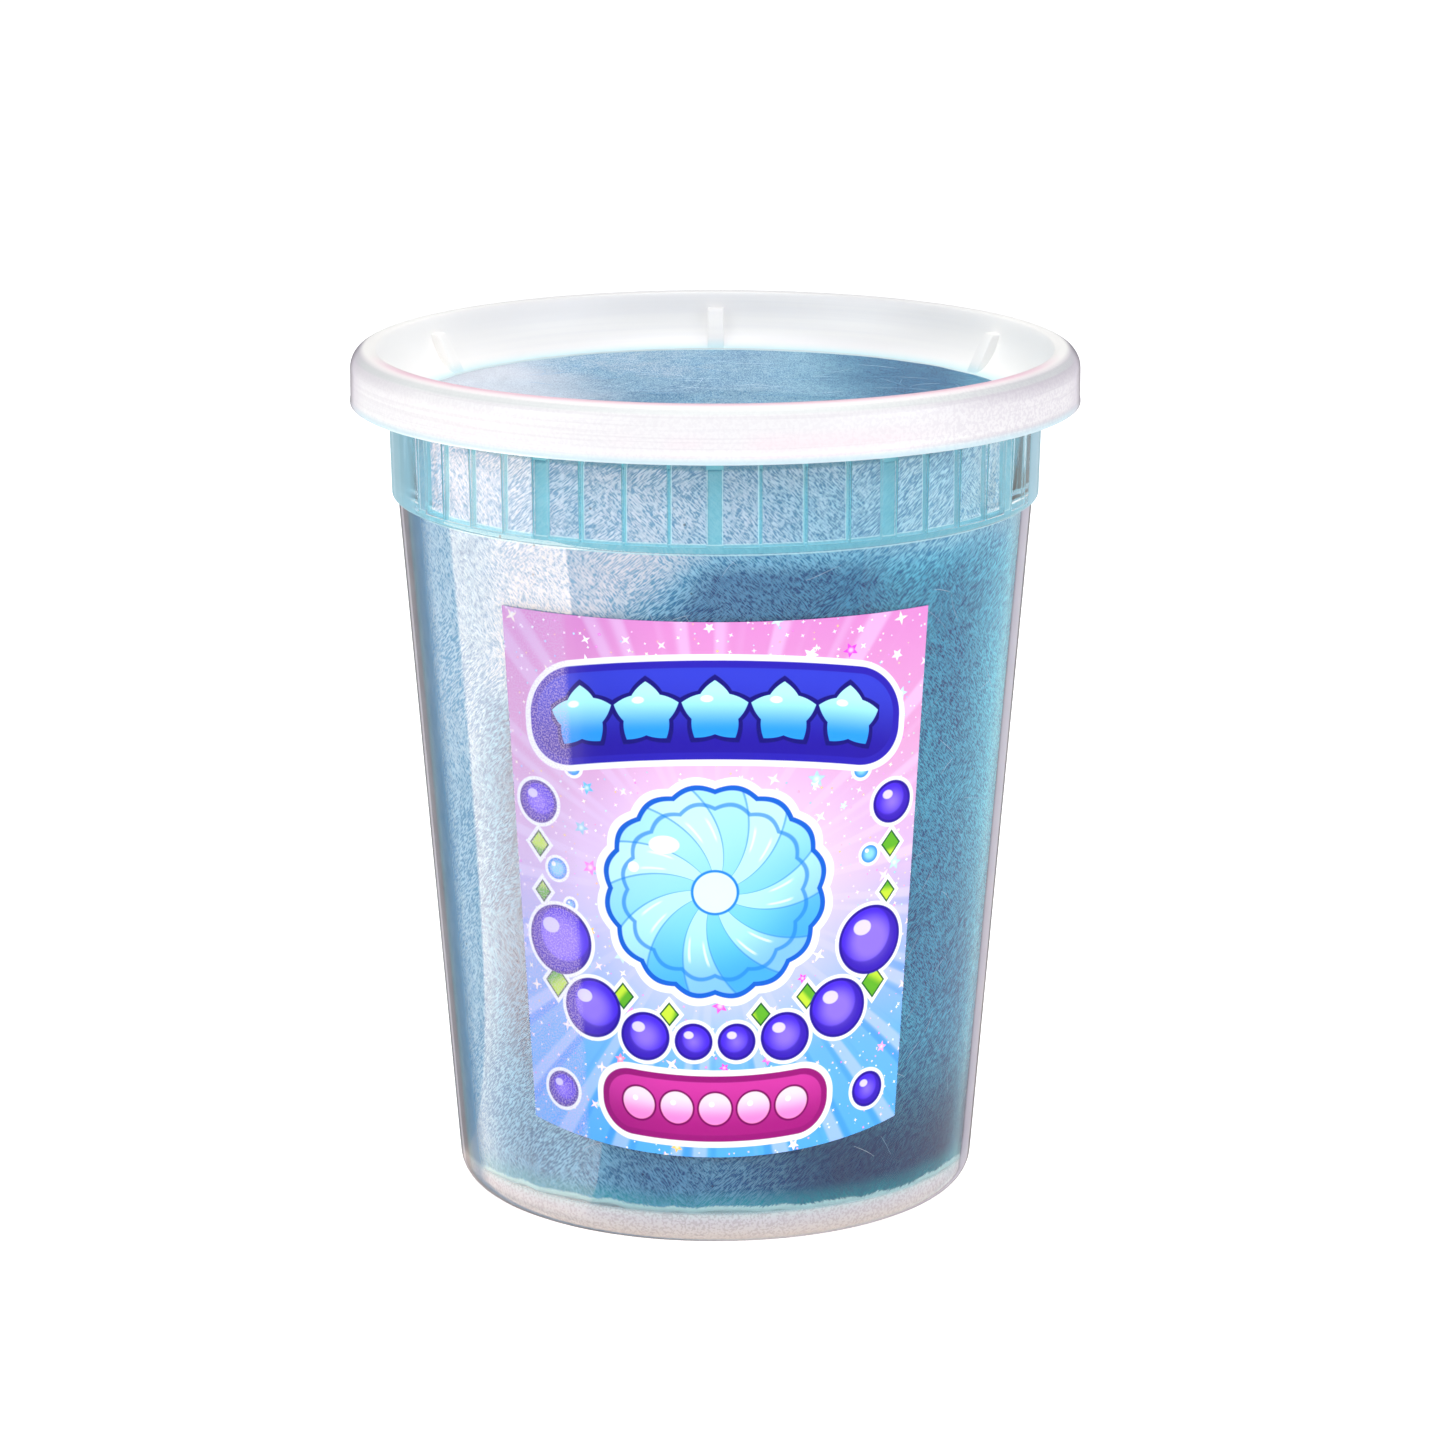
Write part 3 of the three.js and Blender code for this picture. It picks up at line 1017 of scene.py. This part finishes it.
rosette = {
    "middle": 45.5, "radius": 16.5, "scallops": 16, "scallopDepth": 0.9, "arms": 7, "twist": 0.26,
    "white": 2.2, "outline": 0.9,
}

bubbles = {
    # sideways, height, radius
    "places": ((-26.4, 47.6, 1.8), (-22.6, 65.0, 1.2), (25.6, 50.2, 1.5), (23.4, 64.6, 1.3),
               (-24.2, 41.8, 0.9)),
    "white": 0.5,
}

beads = {
    # sideways, height, radius; each is printed on both sides of the middle
    "places": ((26.6, 35.5, 5.4), (21.0, 24.6, 4.6), (11.8, 20.6, 3.7), (29.4, 58.5, 3.1), (3.6, 20.0, 2.7),
               (27.6, 9.6, 2.6)),
    "white": 1.1, "outline": 0.5,
}

lozenges = {
    "places": ((27.6, 28.2, 1.9), (15.4, 27.2, 1.5), (29.6, 51.4, 1.5), (7.6, 24.6, 1.3), (29.4, 43.4, 1.2)),
    "outline": 0.35,
}

plate = {
    "middle": 8.4, "halfWidth": 18.6, "halfHeight": 4.6, "corner": 4.2, "bow": 0.0035,
    "white": 2.1, "magenta": 1.1, "pitch": 6.6, "buttonSize": 2.75, "row": 16.5,
}


def labelPrint():
    paint = Paint("printedLabel")
    uv = paint.split(paint.node("ShaderNodeUVMap", {"uv_map": "printMillimetres"}))
    across = uv.out("X")
    up = uv.out("Y")
    soft = label["sharpness"]
    white = tone(255, 255, 255)

    def inside(distance):
        return paint.fade(distance, soft, -soft, False)

    def length(first, second):
        return (first * first + second * second).maths("SQRT")

    def disc(x, y, radius):
        return length(across - x, up - y) - radius

    def roundBox(x, y, halfWidth, halfHeight, corner):
        outX = abs(x) - (halfWidth - corner)
        outY = abs(y) - (halfHeight - corner)
        return (length(outX.maths("MAXIMUM", 0.0), outY.maths("MAXIMUM", 0.0))
                + outX.maths("MAXIMUM", outY).maths("MINIMUM", 0.0) - corner)

    def starShape(x, y, points, outer, inner, lean=0.0):
        # below 1 inside a star: straight sides from its points to its notches
        turn = (x.maths("ARCTAN2", y) + lean) * (points / fullTurn)
        notch = abs(turn.maths("FRACT") - 0.5) * 2
        return length(x, y) * (notch * (1 / outer - 1 / inner) + 1 / inner)

    def nearest(distances):
        closest = distances[0]
        for distance in distances[1:]:
            closest = closest.maths("MINIMUM", distance)
        return closest

    # ground: blue at the foot to pink at the head, with rays from the rosette
    ground = paint.ramp(paint.fade(up, 0, 90.4, False), [
        (0.0, tone(84, 172, 244)),
        (0.2, tone(104, 176, 240)),
        (0.4, tone(164, 178, 232)),
        (0.54, tone(212, 182, 224)),
        (0.76, tone(220, 160, 206)),
        (1.0, tone(218, 136, 204)),
    ])
    fromMiddle = up - rosette["middle"]
    turn = across.maths("ARCTAN2", fromMiddle)
    away = length(across, fromMiddle)
    rays = (turn * 26 + (turn * 5).maths("SINE") * 1.8).maths("SINE")
    finer = (turn * 61 + 1.3).maths("SINE")
    beam = paint.fade(rays + finer * 0.7, 0.1, 1.1)
    printed = ground

    def cover(mask, colour):
        nonlocal printed
        printed = paint.mix(mask, printed, colour)

    def stack(shape, *layers):
        # a shape printed over its own wider borders
        for border, colour in layers:
            cover(inside(shape - border), colour)

    cover(beam * paint.fade(away, 10, 34) * 0.3, tone(236, 226, 255))
    umbra = paint.fade(rays * 0.6 - finer, 0.5, 1.3) * paint.fade(up, 58, 20)
    cover(umbra * paint.fade(away, 18, 40) * 0.5, tone(46, 138, 244))
    glow = paint.fade(away, 34, 14)
    cover(glow * 0.4, tone(240, 222, 255))

    # confetti: one star to a cell, in a random place, size, lean and colour
    flat = paint.node("ShaderNodeCombineXYZ", None, {0: across, 1: up})

    def scatter(cell, shift, largest, points, inner, share, colours):
        moved = paint.vector("ADD", flat, (shift, shift * 0.7, 0))
        cells = paint.node("ShaderNodeTexVoronoi", {"voronoi_dimensions": "2D"},
                           {"Vector": moved, "Scale": 1 / cell, "Randomness": 0.8})
        local = paint.split(paint.vector("SUBTRACT", moved, cells.out("Position")))
        chance = paint.node("ShaderNodeSeparateColor", None, {0: cells.out("Color")})
        size = (chance.out("Green") * 0.6 + 0.4) * largest
        star = starShape(local.out("X"), local.out("Y"), points, 1.0, inner, chance.out("Blue") * 6)
        chosen = paint.fade(chance.out("Red"), share, share - 0.01)
        mask = paint.fade(star / size, 1.08, 0.92, False) * chosen
        hue = paint.ramp(chance.out("Blue"), colours)
        shine = paint.fade(length(local.out("X"), local.out("Y")) / size, 0.5, 0.0) * 0.6
        cover(mask, paint.mix(shine, hue, white))

    brights = [(0.0, white), (0.3, tone(110, 196, 255)), (0.5, tone(255, 206, 92)),
               (0.7, tone(240, 70, 222)), (1.0, white)]
    pales = [(0.0, white), (0.5, tone(255, 214, 246)), (1.0, tone(255, 246, 214))]
    scatter(1.8, 5.3, 0.3, 4, 0.5, 0.45, brights)
    scatter(2.6, 3.1, 0.42, 4, 0.35, 0.6, pales)
    scatter(7.4, 1.7, 1.5, 5, 0.46, 0.62, brights)
    scatter(6.1, 9.4, 1.35, 4, 0.3, 0.5, pales)

    foam = nearest([disc(*place) for place in bubbles["places"]])
    glints = nearest([disc(x - size * 0.35, y + size * 0.4, size * 0.22)
                      for x, y, size in bubbles["places"]])
    water = paint.mix(paint.fade(foam, 0.0, -1.1), tone(52, 142, 232), tone(140, 214, 252))
    stack(foam, (bubbles["white"], tone(250, 250, 255)), (0, water))
    stack(glints, (0, white))

    # rosette: a scalloped disc with a swirl of two blues
    edge = away - (turn * rosette["scallops"] / 2).maths("SINE").maths("ABSOLUTE") * rosette["scallopDepth"]
    rim = edge - rosette["radius"]
    swirl = (turn * rosette["arms"] + away * rosette["twist"]).maths("SINE")
    lit = paint.fade(up + across * -0.4, 30, 62)
    seam = paint.fade(abs(swirl), 0.16, 0.0) * paint.fade(away, 1, 5)
    under = paint.fade(up + across * -0.5, 50, 28) * paint.fade(away, 5, 15)
    glaze = paint.fade(abs(swirl - 0.62), 0.16, 0.04) * paint.fade(abs(away - 10.6), 2.4, 1.2)
    ringLine = paint.fade(abs(rim + 2.4), 0.5, 0.2)
    heart = disc(0, rosette["middle"], 3.4)
    glint = nearest([length((across + 8) * 0.62, up - 53.4) - 1.5, disc(-13, 49.4, 0.9)])
    blues = paint.mix(paint.fade(swirl, -0.22, 0.22), tone(92, 198, 246), tone(168, 230, 254))
    blues = paint.layered(blues, [
        (lit * 0.55, tone(206, 244, 255)),
        (seam * 0.75, tone(40, 140, 226)),
        (under * 0.5, tone(30, 128, 226)),
        (glaze * 0.7, tone(240, 252, 255)),
        (ringLine * 0.8, tone(36, 132, 224)),
        (inside(heart - 0.45), tone(36, 132, 224)),
        (inside(heart), tone(214, 246, 255)),
        (inside(glint) * 0.85, white),
    ])
    stack(rim, (rosette["white"], tone(250, 252, 255)), (rosette["outline"], tone(22, 96, 206)), (0, blues))

    # garland of violet beads with green lozenges between them
    side = abs(across)
    balls = [length(side - x, up - y) - size for x, y, size in beads["places"]]
    greens = [(abs(side - x) * 1.25 + abs(up - y)) * 0.78 - size for x, y, size in lozenges["places"]]
    stack(nearest([*balls, *greens]), (beads["white"], tone(250, 250, 255)))
    leaf = paint.mix(paint.fade(rays, -0.5, 0.8), tone(96, 176, 44), tone(196, 228, 60))
    stack(nearest(greens), (lozenges["outline"], tone(20, 92, 44)), (0, leaf))
    ballRim = nearest(balls)
    violet = paint.mix(paint.fade(ballRim, -0.2, -3.2), tone(72, 42, 222), tone(140, 112, 248))
    crescents = nearest([length(side - x + size * 0.16, up - y - size * 0.2) - size * 0.86
                         for x, y, size in beads["places"]])
    violet = paint.mix(paint.fade(crescents, -0.25, 0.25) * 0.6, violet, tone(44, 20, 150))
    stack(ballRim, (beads["outline"], tone(42, 24, 150)), (0, violet))
    shines = [length((across - x * s + size * 0.3) * 0.8, up - y - size * 0.42) - size * 0.24
              for x, y, size in beads["places"] for s in (-1, 1)]
    cover(inside(nearest(shines)) * 0.85, tone(232, 222, 255))

    # banner: navy with a white border, and a row of plump cyan stars
    bowed = up - banner["middle"] + across * across * banner["bow"]
    plank = roundBox(across, bowed, banner["halfWidth"], banner["halfHeight"], banner["corner"])
    navy = paint.mix(paint.fade(bowed, -6, 6), tone(38, 24, 160), tone(52, 62, 206))
    stack(plank, (banner["white"], tone(252, 250, 255)), (banner["navy"], tone(43, 33, 176)), (0, navy))
    cellX = ((across / banner["pitch"] + 0.5).maths("FRACT") - 0.5) * banner["pitch"]
    plump = starShape(cellX, bowed + 0.3, 5, banner["starSize"], banner["starSize"] * 0.7)
    inRow = paint.fade(abs(across), banner["row"] + 0.05, banner["row"] - 0.05)
    ice = paint.mix(paint.fade(bowed, -3.4, 3.6), tone(40, 150, 250), tone(176, 246, 255))
    cover(paint.fade(plump, 1.19, 1.15, False) * inRow, tone(24, 18, 120))
    cover(paint.fade(plump, 1.0, 0.97, False) * inRow, ice)
    gleam = length((cellX + 1.2) * 0.6, bowed - 1.9) - 0.55
    cover(inside(gleam) * inRow * 0.9, white)

    # plate: magenta with a white border, and a row of pink buttons
    lowBow = up - plate["middle"] + across * across * -plate["bow"]
    tray = roundBox(across, lowBow, plate["halfWidth"], plate["halfHeight"], plate["corner"])
    wine = paint.mix(paint.fade(lowBow, -4, 5), tone(166, 28, 126), tone(206, 56, 160))
    stack(tray, (plate["white"], tone(255, 250, 254)), (plate["magenta"], tone(150, 22, 116)), (0, wine))
    buttonX = ((across / plate["pitch"] + 0.5).maths("FRACT") - 0.5) * plate["pitch"]
    button = length(buttonX, lowBow) - plate["buttonSize"]
    inTray = paint.fade(abs(across), plate["row"] + 0.05, plate["row"] - 0.05)
    rose = paint.mix(paint.fade(lowBow, -2, 2), tone(255, 134, 206), tone(255, 218, 238))
    cover(inside(button - 0.35) * inTray, tone(116, 10, 88))
    cover(inside(button) * inTray, rose)
    dot = length(buttonX + 0.6, lowBow - 0.8) - 0.45
    cover(inside(dot) * inTray * 0.9, white)

    # finish: a glossy film with a faint tooth, over the print darkened toward its left as painted shade and
    # a painted reflection across its left strip
    tooth = paint.noise(flat, 3.6, 3, 0.6)
    # a painted reflection over the left strip of the print, speckled by the tooth
    paintedReflection = paint.fade(across, -22.4, -23.6) * (0.12 + paint.fade(tooth, 0.46, 0.6) * 0.4)
    # painted shade: the print darkened toward its left side
    printed = paint.mix(paint.fade(across, -4, -34), printed, (0.66, 0.74, 0.8, 1), "MULTIPLY")
    cover(paintedReflection, tone(188, 168, 206))
    film = paint.surface({
        "Base Color": printed,
        "Roughness": 0.12 + 0.14 * tooth,
        "Specular IOR Level": 0.06,
        "Coat Weight": paint.fade(tooth, 0.5, 0.62) * 0.16,
        "Coat Roughness": 0.08,
        "Normal": paint.bump(tooth, 0.12, 0.0001),
    })
    return paint.finish(film)


def makeLabel():
    # the wall's own slope, spun across the front, then cut to the bow and given its thickness
    rows = label["up"]
    heights = [label["bottom"] + (label["top"] - label["bottom"]) * i / rows for i in range(rows + 1)]
    sheet = pullProfile("printed_label", [(outerWall(z) + label["gap"], z) for z in heights])
    half = math.radians(label["halfAngle"])
    sheet.data.transform(Matrix.Rotation(-half, 4, "Z"))
    editAll(sheet)
    bpy.ops.mesh.spin(steps=label["across"], angle=-2 * half, center=(0, 0, 0), axis=(0, 0, 1))
    bpy.ops.mesh.select_all(action="SELECT")
    bpy.ops.mesh.remove_doubles(threshold=0.01 * mm)
    leaveEdit()
    for vertex in sheet.data.vertices:
        sideways = math.atan2(vertex.co.x, -vertex.co.y) / half
        height = vertex.co.z / mm
        share = (label["top"] - height) / (label["top"] - label["bottom"])
        height += label["cornerRise"] * sideways ** 2 * share
        radius = (outerWall(height) + label["gap"]) * mm
        outward = vertex.co.xy.normalized() * radius
        vertex.co = Vector((outward.x, outward.y, height * mm))
    printMap = sheet.data.uv_layers.new(name="printMillimetres")
    for loop in sheet.data.loops:
        place = sheet.data.vertices[loop.vertex_index].co
        turn = math.atan2(place.x, -place.y)
        printMap.data[loop.index].uv = (turn * label["printRadius"], place.z / mm - label["bottom"])
    facing = sheet.data.polygons[0]
    outwards = facing.normal.dot(Vector((facing.center.x, facing.center.y, 0))) > 0
    if not outwards:
        editAll(sheet)
        bpy.ops.mesh.flip_normals()
        leaveEdit()
    applyModifier(sheet, "SOLIDIFY", thickness=label["thickness"] * mm, offset=1)
    setMaterials(sheet, labelPrint())
    smooth(sheet)
    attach(sheet, "root")
    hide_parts("label")


makeLabel()
print("label ready")


floor = {
    "size": 14.0,
    "colour": (0.86, 0.86, 0.87, 1),
    "cloudColour": (0.84, 0.84, 0.86, 1),
    "cloudShare": 0.15,
    "glow": 0.72,           # the floor's own light, as on a lit sweep
    "mirrored": 0.45,       # how much of that glow a gloss picks up
}

lampTarget = (0, 0, 0.07)

lamps = {
    # place, size, power, colour
    "keySoftbox": ((-1.10, -0.75, 0.75), 0.8, 9.0, (1.0, 0.99, 0.98)),
    "fillSoftbox": ((1.15, -0.60, 0.60), 0.8, 8.0, (1.0, 0.99, 1.0)),
    "overheadSoftbox": ((0.0, -0.10, 1.30), 0.9, 8.0, (1.0, 1.0, 1.0)),
}

# low bright cards on the floor that only a gloss sees, for the tall reflections down the wall
cards = {
    "near": 0.046,          # metres from the tub's axis
    "far": 0.62,
    "lift": 0.0006,
    # azimuths from the front, in degrees, of each card's front and back corners, and its glow at both ends
    "leftCard": {"farTurns": (-57, -112), "nearTurns": (-32, -104), "glow": (12.6, 6.0)},
    "rightCard": {"farTurns": (47, 154), "nearTurns": (33, 140), "glow": (1.6, 1.2)},
}

cardPaint = {
    "colour": (0.97, 0.75, 0.59),      # warm, against the blue behind the plastic
    "dimFrom": 0.16,                   # from here to the tub the card dims
    "dimTo": 0.07,
    "dimShare": 0.7,
    "collarFrom": 0.48,                # from here on the collar mirrors the card
    "collarFull": 0.52,
    "collarShare": 0.42,
    "collarFront": 63.8,
    "collarBack": 0.08,
    "power": 0.3,                      # a border's azimuth is start + growth * distance ** power
    "back": (1.333, 0.694),
    "backSoft": 0.02,
    "front": (0.19, 0.965),
    "frontSoft": 0.006,
}

backdrop = {
    "light": (0.96, 0.98, 1, 1),
    "glow": 0.34,
}


def aimAt(lamp, target):
    lamp.rotation_euler = (Vector(target) - lamp.location).to_track_quat("-Z", "Y").to_euler()


def makeFloor():
    bpy.ops.object.select_all(action="DESELECT")
    bpy.ops.mesh.primitive_plane_add(size=floor["size"])
    sweep = bpy.context.object
    sweep.name = "studio_floor"
    paint = Paint("paleFloor")
    cloud = paint.noise(paint.objectPlace(), 3, 2)
    colour = paint.mix(cloud * floor["cloudShare"], floor["colour"], floor["cloudColour"])
    glossy = paint.node("ShaderNodeLightPath", out="Is Glossy Ray")
    glow = floor["glow"] * (1 - glossy * (1 - floor["mirrored"]))
    matt = paint.surface({
        "Base Color": colour, "Roughness": 0.9, "Specular IOR Level": 0.0,
        "Emission Color": (1, 1, 1, 1), "Emission Strength": glow})
    setMaterials(sweep, paint.finish(matt))


def makeLamps():
    for name, (place, size, power, colour) in lamps.items():
        data = bpy.data.lights.new(name, "AREA")
        data.size = size
        data.energy = power
        data.color = colour
        lamp = bpy.data.objects.new(name, data)
        lamp.location = place
        aimAt(lamp, lampTarget)
        lamp.visible_camera = False
        scene.collection.objects.link(lamp)


def shapeCard(name, card):
    bpy.ops.object.select_all(action="DESELECT")
    bpy.ops.mesh.primitive_grid_add(x_subdivisions=8, y_subdivisions=6, size=1)
    piece = bpy.context.object
    piece.name = name
    for vertex in piece.data.vertices:
        sideways, outwards = vertex.co.x + 0.5, vertex.co.y + 0.5
        ends = [low + (high - low) * outwards for low, high in zip(card["nearTurns"], card["farTurns"])]
        turn = math.radians(ends[0] + (ends[1] - ends[0]) * sideways)
        reach = cards["near"] + (cards["far"] - cards["near"]) * outwards
        vertex.co = (math.sin(turn) * reach, -math.cos(turn) * reach, cards["lift"])
    return piece


def cardGlow(name, card):
    # the card's borders are drawn so that they mirror as upright lines in the tapered wall
    paint = Paint(name + "Glow")
    place = paint.objectPlace()
    xyz = paint.split(place)
    azimuth = xyz.out("X").maths("ARCTAN2", -xyz.out("Y"))
    distance = paint.vector("LENGTH", place, (0, 0, 0)).out("Value")
    atCollar = paint.fade(distance, cardPaint["collarFrom"], cardPaint["collarFull"])

    def border(start, growth):
        return distance ** cardPaint["power"] * growth + start

    back = border(*cardPaint["back"]) - atCollar * cardPaint["collarBack"]
    backSoft, frontSoft = cardPaint["backSoft"], cardPaint["frontSoft"]
    kept = paint.fade(-azimuth - back, backSoft, -backSoft)
    kept = kept * paint.fade(abs(azimuth) - border(*cardPaint["front"]), -frontSoft, frontSoft)
    collarFront = math.radians(cardPaint["collarFront"])
    shown = paint.fade(abs(azimuth), collarFront, collarFront + backSoft)
    dimmed = paint.fade(distance, cardPaint["dimFrom"], cardPaint["dimTo"]) * cardPaint["dimShare"]
    share = (1 - atCollar * (1 - cardPaint["collarShare"])) * (1 - atCollar * (1 - shown))
    share = share * kept * (1 - dimmed)
    front, back = (math.radians(turn) for turn in card["nearTurns"])
    frontGlow, backGlow = card["glow"]
    atBack = tuple(value * backGlow / frontGlow for value in cardPaint["colour"])
    colour = paint.mix(paint.fade(azimuth, front, back, False), (*cardPaint["colour"], 1), (*atBack, 1))
    glow = paint.node("ShaderNodeEmission", None, {"Color": colour, "Strength": frontGlow})
    clear = paint.node("ShaderNodeBsdfTransparent")
    return paint.finish(paint.blend(share, clear, glow))


def makeCards():
    for name in ("leftCard", "rightCard"):
        piece = shapeCard(name, cards[name])
        setMaterials(piece, cardGlow(name, cards[name]))
        piece.visible_camera = False
        piece.visible_diffuse = False
        piece.visible_transmission = False
        piece.visible_shadow = False


def makeWorld():
    # soft light all round, and white where the camera looks past the floor
    paint = Paint("studioWorld", "worlds")
    soft = paint.node("ShaderNodeBackground", None, {
        "Color": backdrop["light"], "Strength": backdrop["glow"]})
    white = paint.node("ShaderNodeBackground", None, {"Color": (1, 1, 1, 1)})
    seen = paint.node("ShaderNodeLightPath", out="Is Camera Ray")
    scene.world = paint.finish(paint.blend(seen, soft, white), "ShaderNodeOutputWorld")


makeFloor()
makeLamps()
makeCards()
makeWorld()
print("floor and light ready")
